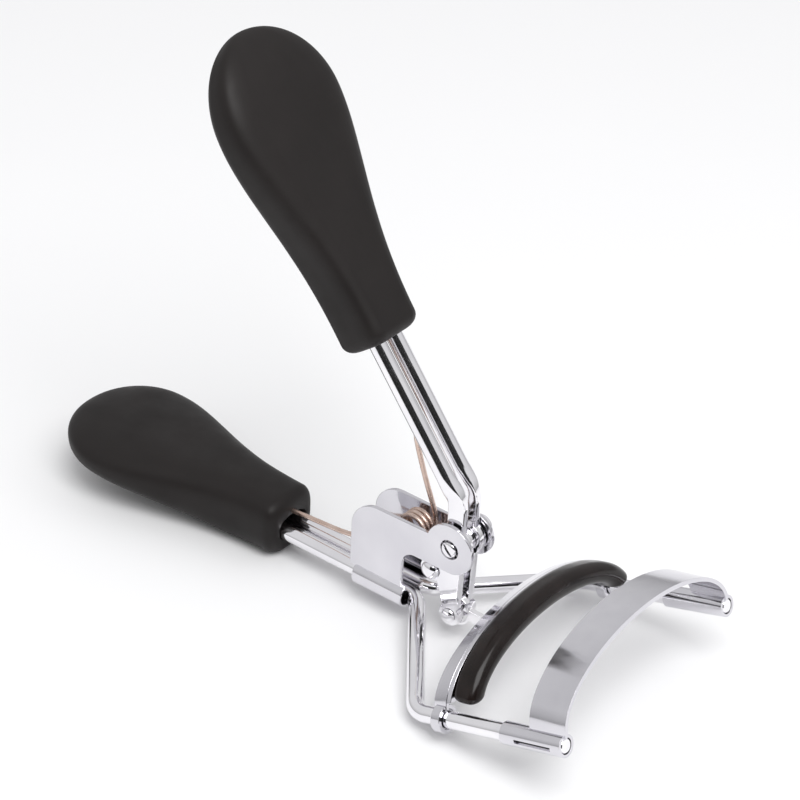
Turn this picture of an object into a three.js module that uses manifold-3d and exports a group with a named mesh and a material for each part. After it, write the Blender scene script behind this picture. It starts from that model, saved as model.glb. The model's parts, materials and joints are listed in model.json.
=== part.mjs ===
// Eyelash curler with two wire side frames, a sliding lower jaw and a sprung upper handle.
// Millimetres, +Z up. The lower handle's wires lie along X, the jaw opens towards +X, and the
// curler stands on the flat underside of the lower grip, with its side wires just above.
import * as THREE from 'three';
import { mergeVertices } from 'three/addons/utils/BufferGeometryUtils.js';
import Module from 'manifold-3d';

const wasm = await Module();
wasm.setup();

// ---- driving dimensions -------------------------------------------------------------------
const WIRE_R = 1.15;            // all the handle and frame wires
const GAP = 0.3;                // running gap between pieces that move past each other
const SNUG = 0.1;               // gap between a wire and what is crimped or moulded round it
const TURN = Math.PI * 2;

// lower frame: two mirrored wires, each a stem, a flare and a rail
const STEM_Z = 2.88;            // height of the stem wires' axes
const STEM_Y = 1.44;            // half their spacing
const STEM_FRONT = -12.52;      // where the stem turns out into the flare
const STEM_REAR = -53;          // end of the wire inside the lower grip
const CORNER_Z = 1.06;          // height of the bend between flare and rail
const RAIL_Y = 18;              // half the spacing of the rails
const RAIL_PITCH = THREE.MathUtils.degToRad(17.3);
const RAIL_LENGTH = 23.3;
const BEND_R = 3.4;

// front plate: the fixed jaw, an arched band with a sleeve crimped round each rail end
const PLATE_REAR = 18.3;        // along the rails
const PLATE_FRONT = 23.6;
const PLATE = { half: 18.2, crest: 9.7, foot: 1.1, thick: 0.6 };   // outer surface over the rails
const PLATE_DROOP = 0.5;        // the front edge is lower than the rear edge
const SLEEVE_REAR = 14.3;
const SLEEVE_R = 1.47;
const RAIL_TIP_R = 0.95;        // the wire is turned down inside the sleeve
const WINDOW_REAR = 16.3;
const WINDOW_LENGTH = 5.4;
const WINDOW_HEIGHT = 0.8;

// bracket: pressed sheet with two ears and a channel wrapped round both stem wires
const SHEET = 0.55;
const EAR_INNER = 2.25;
const EAR_REAR = -22.8;
const EAR_TOP = 15;
const BASE_REAR = -21.9;
const BASE_FRONT = -13.8;
const BASE_R = 1.72;

// upper lever
const PIVOT = new THREE.Vector2(-7.08, 14.09);
const PIVOT_R = 0.85;
const BOSS_R = 3.6;
const ARM_INNER = 0.75;
const ARM_OUTER = 1.95;
const ARM_HALF = 1.3;
const ELBOW_RISE = 7;           // from the pivot up to where the rods lean back
const LEAN = THREE.MathUtils.degToRad(52.6);   // rods above the stem's rearward direction
const ROD_Y = 1.62;
const ROD_END = 40;             // along the rods from the elbow, inside the upper grip
const PIN_DROP = 10.9;          // from the pivot down to the link pin
const LINK_PIN_R = 0.6;
const STOP = new THREE.Vector2(-10.3, 8.95);
const STOP_R = 1.2;
const STOP_HALF = 2.9;

// sliding jaw, in rail coordinates (x along the rails, z square to them)
const JAW_REAR = 3.4;
const JAW_FRONT = 5.4;
const JAW = { half: 18.2, crest: 8.9, foot: 0.6, thick: 0.6 };
const JAW_DROOP = 0.7;          // the rear edge is lower than the front edge
const EYE_R = 2.05;
const CHANNEL_FRONT = 7.2;
const CHANNEL = { half: 17.5, crest: 9.4, foot: 0.6, thick: 3.5 };
const CHANNEL_WALL = 0.25;
const PAD_REAR = 6;
const PAD_FRONT = 9.4;
const PAD_TRIM = 0.14;          // the pad and its channel stop short of the rails
const JAW_PIN = new THREE.Vector2(0.62, 1.9);  // link's front pin
const LINK_HALF = 0.45;
const CHEEK_INNER = 0.75;
const CHEEK_OUTER = 1.35;

// grips: u runs along the grip from its front face, heights are above its outer face
const LOWER_GRIP = {
  length: 37.5,
  baseHalf: 4.7,
  headHalf: 10.5,
  headAt: 28,                   // u of the widest section
  baseThick: 8.6,
  headThick: 9.7,               // height of the inner face at the head
  thickPower: 0.7,
  tuck: 4.4,                    // the outer face lifts by this at the tip
  flatFor: 14,                  // and stays flat for this long
  tuckPower: 1.05,
};
const UPPER_GRIP = {
  length: 42,
  baseHalf: 4.7,
  headHalf: 10.4,
  headAt: 31.4,
  baseThick: 7.9,
  headThick: 5.6,
  thickPower: 1.9,
  tuck: -1.2,
  flatFor: 0,
  tuckPower: 2.4,
};
const GRIP_WAIST = 0.54;        // widest at this share of the height
const GRIP_FLAT = 0.97;         // share of the section at which the outer face is cut flat
const GRIP_FRONT = -34.8;       // front face of the lower grip
const LIFT = 0.8;               // the lower grip reaches this far below the wires' lowest point
const LOWER_INSET = STEM_Z + LIFT;  // rods' axes above the grip's outer face
const UPPER_INSET = 3.21;
const UPPER_GRIP_AT = 22.3;     // upper grip's front face, from the elbow along the rods

// torsion spring
const SPRING_WIRE = 0.35;
const COIL = new THREE.Vector2(-14.67, 13.31);
const COIL_R = 2.3;
const COIL_TURNS = 3.25;
const COIL_HALF = 1.3;

const chrome = (name) => new THREE.MeshStandardMaterial({ name, color: 0xc9c6cc, roughness: 0.12, metalness: 1 });
const CHROME = chrome('chrome');
const SOFT_TOUCH = new THREE.MeshStandardMaterial({ name: 'soft_touch', color: 0x2d2a2a, roughness: 0.6 });
const SILICONE = new THREE.MeshStandardMaterial({ name: 'silicone', color: 0x1d1614, roughness: 0.2 });
const SPRING_STEEL = new THREE.MeshStandardMaterial({
  name: 'spring', color: 0xc8b4aa, roughness: 0.3, metalness: 1,
});

// ---- small helpers ------------------------------------------------------------------------
const point = (x, y, z) => new THREE.Vector3(x, y, z);

/** A closed geometry as a solid that can be joined and cut. */
function solid(geometry) {
  const bare = geometry.clone();
  bare.deleteAttribute('normal');
  bare.deleteAttribute('uv');
  const merged = mergeVertices(bare, 1e-5);
  const mesh = new wasm.Mesh({
    numProp: 3,
    vertProperties: new Float32Array(merged.attributes.position.array),
    triVerts: new Uint32Array(merged.index.array),
  });
  const made = new wasm.Manifold(mesh);
  return made.volume() < 0 ? solid(flipped(merged)) : made;
}

/** The same triangles wound the other way. */
function flipped(geometry) {
  const turned = geometry.clone();
  const index = turned.index.array;
  for (let i = 0; i < index.length; i += 3) [index[i], index[i + 1]] = [index[i + 1], index[i]];
  return turned;
}

/** A joined or cut solid back as a geometry. */
function geometryOf(body) {
  const mesh = body.getMesh();
  const geometry = new THREE.BufferGeometry();
  const stride = mesh.numProp;
  const points = new Float32Array((mesh.vertProperties.length / stride) * 3);
  for (let i = 0; i < points.length / 3; i += 1) {
    for (let k = 0; k < 3; k += 1) points[i * 3 + k] = mesh.vertProperties[i * stride + k];
  }
  geometry.setAttribute('position', new THREE.BufferAttribute(points, 3));
  geometry.setIndex(Array.from(mesh.triVerts));
  geometry.computeVertexNormals();
  return geometry;
}

/** A path through chosen knots: straight runs keep only their ends. */
class KnotPath extends THREE.Curve {
  constructor(knots) {
    super();
    this.knots = knots;
  }

  getPointAt(u, target = new THREE.Vector3()) {
    return target.copy(this.knots[Math.round(u * (this.knots.length - 1))]);
  }

  getTangentAt(u, target = new THREE.Vector3()) {
    const last = this.knots.length - 1;
    const i = Math.round(u * last);
    const into = new THREE.Vector3();
    const out = new THREE.Vector3();
    if (i > 0) into.subVectors(this.knots[i], this.knots[i - 1]).normalize();
    if (i < last) out.subVectors(this.knots[i + 1], this.knots[i]).normalize();
    return target.addVectors(into, out).normalize();
  }
}

/** Knots along straight legs with each inner corner rounded to a radius. */
function rounded(corners, radius, steps) {
  const knots = [corners[0].clone()];
  for (let i = 1; i < corners.length - 1; i += 1) {
    const before = corners[i - 1].clone().sub(corners[i]).normalize();
    const after = corners[i + 1].clone().sub(corners[i]).normalize();
    const half = before.angleTo(after) / 2;
    const centre = before.clone().add(after).normalize().multiplyScalar(radius / Math.sin(half)).add(corners[i]);
    const start = before.multiplyScalar(radius / Math.tan(half)).add(corners[i]).sub(centre);
    const end = after.multiplyScalar(radius / Math.tan(half)).add(corners[i]).sub(centre);
    const sweep = start.angleTo(end);
    for (let k = 0; k <= steps; k += 1) {
      const share = k / steps;
      const point = start.clone().multiplyScalar(Math.sin((1 - share) * sweep));
      point.addScaledVector(end, Math.sin(share * sweep)).divideScalar(Math.sin(sweep));
      knots.push(point.add(centre));
    }
  }
  knots.push(corners[corners.length - 1].clone());
  return knots;
}

/** Round wire along knots. */
function wire(knots, radius, sides = 12) {
  const section = new THREE.Shape();
  section.absarc(0, 0, radius, 0, TURN);
  return new THREE.ExtrudeGeometry(section, {
    steps: knots.length - 1,
    curveSegments: sides / 2,
    extrudePath: new KnotPath(knots),
  });
}

/** Round bar along Y, centred on a point of the XZ plane. */
function crossBar(centre, radius, from, to, sides = 16) {
  const bar = new THREE.CylinderGeometry(radius, radius, to - from, sides);
  return bar.translate(centre.x, (from + to) / 2, centre.y);
}

/** Outline in the XZ plane given thickness along Y. */
function sidePlate(shape, from, to, curveSegments = 8) {
  const plate = new THREE.ExtrudeGeometry(shape, { depth: to - from, bevelEnabled: false, curveSegments });
  return plate.rotateX(Math.PI / 2).translate(0, to, 0);
}

/** Rail coordinates to the curler's own: x along the rail, z square to it. */
const TO_RAIL = new THREE.Matrix4()
  .makeTranslation(0, 0, CORNER_Z)
  .multiply(new THREE.Matrix4().makeRotationY(-RAIL_PITCH));
const inRail = (geometry) => geometry.applyMatrix4(TO_RAIL);
const railPoint = (x, y, z) => point(x, y, z).applyMatrix4(TO_RAIL);

/** Mirrors a geometry to the far side, keeping its faces outward. */
function mirrored(geometry) {
  const indexed = mergeVertices(geometry, 1e-5);
  return flipped(indexed.scale(1, -1, 1));
}

const group = new THREE.Group();

function place(name, geometry, material) {
  const mesh = new THREE.Mesh(geometry, material);
  mesh.name = name;
  group.add(mesh);
}

// ---- lower frame --------------------------------------------------------------------------
function frameWire() {
  const knots = rounded([
    point(STEM_REAR, -STEM_Y, STEM_Z),
    point(STEM_FRONT, -STEM_Y, STEM_Z),
    railPoint(0, -RAIL_Y, 0),
    railPoint(SLEEVE_REAR - SNUG, -RAIL_Y, 0),
  ], BEND_R, 6);
  const tipLength = RAIL_LENGTH - SLEEVE_REAR + 1;
  const tip = new THREE.CylinderGeometry(RAIL_TIP_R, RAIL_TIP_R, tipLength, 16).rotateZ(Math.PI / 2);
  inRail(tip.translate(RAIL_LENGTH - tipLength / 2, -RAIL_Y, 0));
  return geometryOf(solid(wire(knots, WIRE_R)).add(solid(tip)));
}

/** Half of an ellipse over the rails: half-width, crest height, foot height. */
function archPoint(angle, half, crest, foot) {
  return new THREE.Vector2(half * Math.cos(angle), foot + (crest - foot) * Math.sin(angle));
}

/**
 * Arched band between two stations along the rails, made from its end view.
 * `trim` leaves out that much of the arch, as an angle, at each foot.
 */
function archBand(rear, front, arch, trim = 0, steps = 28) {
  const { half, crest, foot, thick } = arch;
  const angle = (i) => trim + (Math.PI - 2 * trim) * (1 - i / steps);
  const outline = [];
  for (let i = 0; i <= steps; i += 1) outline.push(archPoint(angle(i), half, crest, foot));
  for (let i = steps; i >= 0; i -= 1) outline.push(archPoint(angle(i), half - thick, crest - thick, foot));
  const band = new THREE.ExtrudeGeometry(new THREE.Shape(outline), { depth: front - rear, bevelEnabled: false });
  // the end view's x and y become the curler's y and z
  const turn = new THREE.Matrix4().makeBasis(point(0, 1, 0), point(0, 0, 1), point(1, 0, 0));
  return band.applyMatrix4(turn).translate(rear, 0, 0);
}

/** Tips an arched band so that its height at one station differs by `drop` at the crest. */
function tipped(band, level, low, drop, arch) {
  const position = band.attributes.position;
  for (let i = 0; i < position.count; i += 1) {
    const share = (position.getX(i) - level) / (low - level);
    const rise = (position.getZ(i) - arch.foot) / (arch.crest - arch.foot);
    position.setZ(i, position.getZ(i) - drop * share * Math.max(0, rise));
  }
  return band;
}

/** Tube along the rail, with an open bore. */
function railTube(rear, front, outer, inner, y) {
  const profile = [
    new THREE.Vector2(inner, rear),
    new THREE.Vector2(outer, rear),
    new THREE.Vector2(outer, front),
    new THREE.Vector2(inner, front),
    new THREE.Vector2(inner, rear),
  ];
  return new THREE.LatheGeometry(profile, 20).rotateZ(-Math.PI / 2).translate(0, y, 0);
}

function frontPlate() {
  const band = archBand(PLATE_REAR, PLATE_FRONT, PLATE);
  let plate = solid(tipped(band, PLATE_REAR, PLATE_FRONT, PLATE_DROOP, PLATE));
  for (const side of [-1, 1]) {
    const y = side * RAIL_Y;
    const sleeve = railTube(SLEEVE_REAR, RAIL_LENGTH, SLEEVE_R, RAIL_TIP_R + SNUG, y);
    const bore = new THREE.CylinderGeometry(RAIL_TIP_R + SNUG, RAIL_TIP_R + SNUG, 20, 20).rotateZ(Math.PI / 2);
    const window = new THREE.BoxGeometry(WINDOW_LENGTH, 2, WINDOW_HEIGHT);
    window.translate(WINDOW_REAR + WINDOW_LENGTH / 2, side * (RAIL_Y + 1.4), 0);
    plate = plate.add(solid(sleeve));
    plate = plate.subtract(solid(bore.translate(RAIL_LENGTH - 5, y, 0))).subtract(solid(window));
  }
  return inRail(geometryOf(plate));
}

// ---- bracket ------------------------------------------------------------------------------
function earShape() {
  const ear = new THREE.Shape();
  const cornerR = 4.2;
  const notchR = 2;
  const notchRear = -14.4;
  const notchTop = 10.45;
  ear.moveTo(EAR_REAR, STEM_Z + 0.6);
  ear.lineTo(EAR_REAR, EAR_TOP - cornerR);
  ear.absarc(EAR_REAR + cornerR, EAR_TOP - cornerR, cornerR, Math.PI, Math.PI / 2, true);
  ear.lineTo(PIVOT.x - BOSS_R * Math.cos(0.26), EAR_TOP);
  ear.absarc(PIVOT.x, PIVOT.y, BOSS_R, Math.PI - 0.28, -Math.PI / 2, true);
  ear.lineTo(notchRear + notchR, notchTop);
  ear.absarc(notchRear + notchR, notchTop - notchR, notchR, Math.PI / 2, Math.PI, false);
  ear.lineTo(notchRear, STEM_Z + 0.6);
  return ear;
}

function bracket() {
  // channel round both stem wires, open at the top between the ears
  const outer = new THREE.Shape();
  outer.absarc(STEM_Y, 0, BASE_R, -Math.PI / 2, Math.PI / 2);
  outer.absarc(-STEM_Y, 0, BASE_R, Math.PI / 2, Math.PI * 1.5);
  const inner = new THREE.Shape();
  inner.absarc(STEM_Y, 0, WIRE_R + SNUG, -Math.PI / 2, Math.PI / 2);
  inner.absarc(-STEM_Y, 0, WIRE_R + SNUG, Math.PI / 2, Math.PI * 1.5);
  const turn = new THREE.Matrix4().makeBasis(point(0, 1, 0), point(0, 0, 1), point(1, 0, 0));
  const prism = (shape, from, to) => new THREE.ExtrudeGeometry(shape, {
    depth: to - from, bevelEnabled: false, curveSegments: 10,
  }).applyMatrix4(turn).translate(from, 0, STEM_Z);
  const length = EAR_INNER * 2;
  const mouth = new THREE.BoxGeometry(30, length, 6).translate(-18, 0, STEM_Z + 0.7 + 3);
  let body = solid(prism(outer, BASE_REAR, BASE_FRONT));
  for (const side of [-1, 1]) {
    const from = side < 0 ? -EAR_INNER - SHEET : EAR_INNER;
    body = body.add(solid(sidePlate(earShape(), from, from + SHEET)));
    const hole = crossBar(PIVOT, PIVOT_R + SNUG, from - 1, from + SHEET + 1);
    body = body.subtract(solid(hole));
  }
  body = body.subtract(solid(mouth));
  body = body.subtract(solid(prism(inner, EAR_REAR - 2, BASE_FRONT + 2)));
  return geometryOf(body);
}

function pivotScrew() {
  const edge = EAR_INNER + SHEET;
  const headR = 1.45;
  const nutHalf = edge + 1.4;
  const head = crossBar(PIVOT, headR, -edge - 0.75, -edge - SNUG);
  const slot = new THREE.BoxGeometry(3.4, 0.5, 0.45).rotateY(0.6).translate(PIVOT.x, -edge - 0.75, PIVOT.y);
  const shank = crossBar(PIVOT, PIVOT_R, -edge - 0.4, nutHalf);
  return geometryOf(solid(head).add(solid(shank)).subtract(solid(slot)));
}

function pivotWasher() {
  const edge = EAR_INNER + SHEET;
  const ring = crossBar(PIVOT, 2, edge + SNUG, edge + 0.45);
  return geometryOf(solid(ring).subtract(solid(crossBar(PIVOT, PIVOT_R + SNUG, 0, 8))));
}

function pivotNut() {
  const edge = EAR_INNER + SHEET + 0.55;
  const profile = [
    new THREE.Vector2(PIVOT_R + SNUG, 0),
    new THREE.Vector2(1.85, 0),
    new THREE.Vector2(1.85, 0.8),
    new THREE.Vector2(1.5, 1.35),
    new THREE.Vector2(PIVOT_R + SNUG, 1.55),
    new THREE.Vector2(PIVOT_R + SNUG, 0),
  ];
  return new THREE.LatheGeometry(profile, 20).translate(PIVOT.x, edge, PIVOT.y);
}

// ---- upper lever --------------------------------------------------------------------------
const ELBOW = point(PIVOT.x, 0, PIVOT.y + ELBOW_RISE);
const ROD_DIRECTION = point(-Math.cos(LEAN), 0, Math.sin(LEAN));

function armShape() {
  const arm = new THREE.Shape();
  const top = PIVOT.y + ELBOW_RISE - 0.6;
  const eyeR = 1.6;
  const hubR = 2.4;
  const waist = 1.1;
  const pinZ = PIVOT.y - PIN_DROP;
  const hubJoin = Math.acos(ARM_HALF / hubR);
  const eyeJoin = Math.acos(waist / eyeR);
  arm.moveTo(PIVOT.x + ARM_HALF, top);
  arm.lineTo(PIVOT.x - ARM_HALF, top);
  arm.absarc(PIVOT.x, PIVOT.y, hubR, Math.PI - hubJoin, Math.PI + hubJoin * 0.6, false);
  arm.absarc(STOP.x, STOP.y, STOP_R + 0.5, Math.PI * 0.8, Math.PI * 1.7, false);
  arm.absarc(PIVOT.x, pinZ, eyeR, Math.PI - eyeJoin, TURN + eyeJoin, false);
  arm.absarc(PIVOT.x, PIVOT.y, hubR, -hubJoin, hubJoin, false);
  return arm;
}

function leverWire() {
  const elbow = ELBOW.clone().setY(-ROD_Y);
  const rod = wire([
    elbow.clone().addScaledVector(ROD_DIRECTION, -0.3),
    elbow.clone().addScaledVector(ROD_DIRECTION, ROD_END),
  ], WIRE_R, 16);
  // the wire is pressed flat below the elbow: a short wedge joins round rod and flat arm
  const neck = new THREE.SphereGeometry(WIRE_R * 1.08, 14, 10).scale(1.05, 0.9, 1.25);
  neck.translate(elbow.x, -1.5, elbow.z - 0.35);
  const arm = sidePlate(armShape(), -ARM_OUTER, -ARM_INNER);
  const hinge = crossBar(PIVOT, PIVOT_R + GAP, -4, 4);
  const stopHole = crossBar(STOP, 0.7 + SNUG, -4, 4);
  const pinHole = crossBar(new THREE.Vector2(PIVOT.x, PIVOT.y - PIN_DROP), LINK_PIN_R + SNUG, -4, 4);
  let body = solid(rod).add(solid(neck)).add(solid(arm));
  for (const hole of [hinge, stopHole, pinHole]) body = body.subtract(solid(hole));
  return geometryOf(body);
}

/** Cross pin with a domed head at each end, waisted where it passes through the arms. */
function stopPin() {
  const neckR = 0.7;
  const headFrom = ARM_OUTER + SNUG;
  const profile = [new THREE.Vector2(0, -STOP_HALF)];
  const dome = 4;
  for (let i = 1; i <= dome; i += 1) {
    const a = (i / dome) * (Math.PI / 2);
    profile.push(new THREE.Vector2(STOP_R * Math.sin(a), -headFrom - (STOP_HALF - headFrom) * Math.cos(a) - 0.001));
  }
  profile.push(new THREE.Vector2(neckR, -headFrom));
  const other = profile.map((p) => new THREE.Vector2(p.x, -p.y)).reverse();
  const pin = new THREE.LatheGeometry([...profile, ...other], 18);
  return geometryOf(solid(pin.translate(STOP.x, 0, STOP.y)));
}

function linkPin() {
  const centre = new THREE.Vector2(PIVOT.x, PIVOT.y - PIN_DROP);
  const shank = solid(crossBar(centre, LINK_PIN_R, -ARM_OUTER - 0.5, ARM_OUTER + 0.5));
  const heads = [-1, 1].map((side) => {
    const from = side < 0 ? -ARM_OUTER - 0.6 : ARM_OUTER + SNUG;
    return solid(crossBar(centre, 1, from, from + 0.5));
  });
  return geometryOf(shank.add(heads[0]).add(heads[1]));
}

function pivotSpacer() {
  const half = ARM_INNER - SNUG;
  const ring = crossBar(PIVOT, 1.7, -half, half);
  return geometryOf(solid(ring).subtract(solid(crossBar(PIVOT, PIVOT_R + GAP, -4, 4))));
}

// ---- sliding jaw --------------------------------------------------------------------------
function movingJaw() {
  const band = archBand(JAW_REAR, JAW_FRONT, JAW);
  let jaw = solid(tipped(band, JAW_FRONT, JAW_REAR, JAW_DROOP, JAW));
  for (const side of [-1, 1]) {
    const y = side * RAIL_Y;
    jaw = jaw.add(solid(railTube(JAW_REAR, JAW_FRONT, EYE_R, WIRE_R + GAP, y)));
    const bore = new THREE.CylinderGeometry(WIRE_R + GAP, WIRE_R + GAP, 12, 20).rotateZ(Math.PI / 2);
    jaw = jaw.subtract(solid(bore.translate(JAW_REAR + 1, y, 0)));
    const from = side < 0 ? -CHEEK_OUTER : CHEEK_INNER;
    jaw = jaw.add(solid(sidePlate(cheekShape(), from, from + CHEEK_OUTER - CHEEK_INNER)));
  }
  jaw = jaw.subtract(solid(crossBar(JAW_PIN, LINK_PIN_R + SNUG, -4, 4)));
  return inRail(geometryOf(jaw));
}

/** Side view of one cheek of the clevis that takes the link's front pin. */
function cheekShape() {
  const cheek = new THREE.Shape();
  const eye = 1.45;
  const front = JAW_FRONT - 0.5;
  const under = JAW.crest - JAW_DROOP;
  cheek.absarc(JAW_PIN.x, JAW_PIN.y, eye, Math.PI * 0.75, Math.PI * 1.8, false);
  cheek.lineTo(front, under - 2.4);
  cheek.lineTo(front, under - 0.2);
  cheek.lineTo(JAW_REAR + 0.2, under - 0.2);
  return cheek;
}

/** Channel that grips the back of the pad. */
function padChannel() {
  const rear = JAW_FRONT + SNUG;
  const cavity = {
    half: CHANNEL.half - CHANNEL_WALL,
    crest: CHANNEL.crest - CHANNEL_WALL,
    foot: CHANNEL.foot,
    thick: CHANNEL.thick - 2 * CHANNEL_WALL,
  };
  const outer = solid(archBand(rear, CHANNEL_FRONT, CHANNEL, PAD_TRIM + 0.03));
  return inRail(geometryOf(outer.subtract(solid(archBand(PAD_REAR - SNUG, CHANNEL_FRONT + 1, cavity)))));
}

function siliconePad() {
  const inset = CHANNEL_WALL + SNUG;
  const arch = {
    half: CHANNEL.half - inset,
    crest: CHANNEL.crest - inset,
    foot: CHANNEL.foot,
    thick: CHANNEL.thick - 2 * inset,
  };
  return inRail(archBand(PAD_REAR, PAD_FRONT, arch, PAD_TRIM));
}

function jawPin() {
  const shank = solid(crossBar(JAW_PIN, LINK_PIN_R, -CHEEK_OUTER - 0.4, CHEEK_OUTER + 0.4));
  const head = (from) => solid(crossBar(JAW_PIN, 1, from, from + 0.5));
  return inRail(geometryOf(shank.add(head(-CHEEK_OUTER - SNUG - 0.5)).add(head(CHEEK_OUTER + SNUG))));
}

// ---- link between lever and jaw -----------------------------------------------------------
function pushLink() {
  const front = railPoint(JAW_PIN.x, 0, JAW_PIN.y);
  const rear = point(PIVOT.x, 0, PIVOT.y - PIN_DROP);
  const barHalf = 0.8;
  const frontEye = 1.35;
  const rearEye = 2.3;
  const slack = 1.25;              // the rear eye is loose on its pin
  const shape = new THREE.Shape();
  const join = Math.asin(barHalf / frontEye);
  const rearJoin = Math.asin(barHalf / rearEye);
  shape.absarc(front.x, front.z, frontEye, Math.PI + join, Math.PI * 3 - join, false);
  shape.absarc(rear.x, rear.z, rearEye, rearJoin, TURN - rearJoin, false);
  let link = solid(sidePlate(shape, -LINK_HALF, LINK_HALF));
  link = link.subtract(solid(crossBar(new THREE.Vector2(front.x, front.z), LINK_PIN_R + SNUG, -2, 2)));
  link = link.subtract(solid(crossBar(new THREE.Vector2(rear.x, rear.z), LINK_PIN_R + slack, -2, 2)));
  return geometryOf(link);
}

// ---- grips --------------------------------------------------------------------------------
/** Half-width along a grip, from its front face to its round tip. */
function gripHalfWidth(u, grip) {
  if (u > grip.headAt) {
    const t = (u - grip.headAt) / (grip.length - grip.headAt);
    return grip.headHalf * Math.sqrt(Math.max(0, 1 - t * t));
  }
  const t = (u / grip.headAt) ** 1.33;
  return grip.baseHalf + (grip.headHalf - grip.baseHalf) * t * t * (3 - 2 * t);
}

/** One grip lying on its outer face: length along +X from its front face, width along Y. */
function gripBlank(grip, stations = 20, around = 28) {
  const chamfer = 0.9;
  const tipRound = 7;
  const profile = [new THREE.Vector2(0, 0), new THREE.Vector2(0.86, 0)];
  for (let i = 1; i <= stations; i += 1) {
    const t = i / stations;
    const u = chamfer + (grip.length - chamfer) * Math.sin((t * Math.PI) / 2) ** 1.1;
    const intoTip = Math.max(0, (u - (grip.length - tipRound)) / tipRound);
    profile.push(new THREE.Vector2(i === stations ? 0 : Math.sqrt(1 - Math.min(1, intoTip) ** 2), u));
  }
  const lathe = new THREE.LatheGeometry(profile, around);
  const position = lathe.attributes.position;
  for (let i = 0; i < position.count; i += 1) {
    const [x, u, z] = [position.getX(i), position.getY(i), position.getZ(i)];
    const fill = Math.hypot(x, z);
    // square sections at the front, round ones at the head
    const corner = 2 / (3.4 - 1.2 * Math.min(1, u / grip.headAt));
    const crown = (c) => Math.sign(c) * Math.abs(c) ** corner;
    const side = fill > 0 ? crown(x / fill) : 0;
    const up = fill > 0 ? crown(z / fill) : 0;
    const lifted = Math.max(0, (u - grip.flatFor) / (grip.length - grip.flatFor));
    const under = grip.tuck * lifted ** grip.tuckPower;
    const over = grip.baseThick + (grip.headThick - grip.baseThick) * (u / grip.length) ** grip.thickPower;
    const waist = under + (over - under) * GRIP_WAIST;
    const reach = up > 0 ? (over - waist) * up : ((waist - under) * Math.max(-GRIP_FLAT, up)) / GRIP_FLAT;
    const width = u > grip.headAt ? 1 : fill;
    position.setXYZ(i, u, gripHalfWidth(u, grip) * side * width, waist + reach * fill);
  }
  return lathe;
}

/** Bores for the two rods and the mouth where they and the spring's leg go in. */
function gripCut(blank, rodY, inset) {
  let grip = solid(blank);
  const depth = 19.5;
  for (const side of [-1, 1]) {
    const bore = new THREE.CylinderGeometry(WIRE_R + SNUG, WIRE_R + SNUG, depth, 16).rotateZ(Math.PI / 2);
    grip = grip.subtract(solid(bore.translate(depth / 2 - 0.5, side * rodY, inset)));
  }
  const mouth = new THREE.Shape();
  mouth.absarc(rodY, 0, WIRE_R + 0.45, -Math.PI / 2, Math.PI / 2, false);
  mouth.absarc(0, 1.5, 1.75, 0.3, Math.PI - 0.3, false);
  mouth.absarc(-rodY, 0, WIRE_R + 0.45, Math.PI / 2, Math.PI * 1.5, false);
  const turn = new THREE.Matrix4().makeBasis(point(0, 1, 0), point(0, 0, 1), point(1, 0, 0));
  const recess = new THREE.ExtrudeGeometry(mouth, { depth: 4, bevelEnabled: false, curveSegments: 8 });
  return geometryOf(grip.subtract(solid(recess.applyMatrix4(turn).translate(-0.5, 0, inset))));
}

function lowerGrip() {
  const grip = gripCut(gripBlank(LOWER_GRIP), STEM_Y, LOWER_INSET);
  grip.rotateZ(Math.PI);
  return grip.translate(GRIP_FRONT, 0, -LIFT);
}

function upperGrip() {
  const grip = gripCut(gripBlank(UPPER_GRIP), ROD_Y, UPPER_INSET);
  // its flat outer face looks away from the lower grip
  const outward = point(Math.sin(LEAN), 0, Math.cos(LEAN));
  const basis = new THREE.Matrix4().makeBasis(ROD_DIRECTION, point(0, -1, 0), outward.clone().negate());
  const at = ELBOW.clone().addScaledVector(ROD_DIRECTION, UPPER_GRIP_AT).addScaledVector(outward, UPPER_INSET);
  return facingOut(grip.applyMatrix4(basis.setPosition(at)));
}

/** Keeps faces outward after a placement that may mirror. */
function facingOut(geometry) {
  return geometryOf(solid(geometry));
}

// ---- torsion spring -----------------------------------------------------------------------
function torsionSpring() {
  const perTurn = 14;
  const turns = COIL_TURNS * perTurn;
  const knots = [
    point(-18.6, 0, 33),
    point(-17, 0, 29.2),
    point(-15.5, 0, 25),
    point(-14.1, 0, 21),
    point(-12.9, -0.5, 17.5),
    point(-12.4, -COIL_HALF, 15.2),
  ];
  for (let i = 0; i <= turns; i += 1) {
    const angle = -(i / perTurn) * TURN;
    const y = -COIL_HALF + (2 * COIL_HALF * i) / turns;
    knots.push(point(COIL.x + COIL_R * Math.cos(angle), y, COIL.y + COIL_R * Math.sin(angle)));
  }
  knots.push(
    point(-16.6, COIL_HALF, 10.4),
    point(-20, 0.9, 8.7),
    point(-25, 0.4, 6.7),
    point(-31, 0, 5.8),
    point(-37, 0, 5.4),
  );
  return wire(knots, SPRING_WIRE, 8);
}

// the origin is under the middle of the whole length
const frontEnd = RAIL_LENGTH * Math.cos(RAIL_PITCH) + SLEEVE_R * Math.sin(RAIL_PITCH);
group.position.set(-(GRIP_FRONT - LOWER_GRIP.length + frontEnd) / 2, 0, LIFT);

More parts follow.
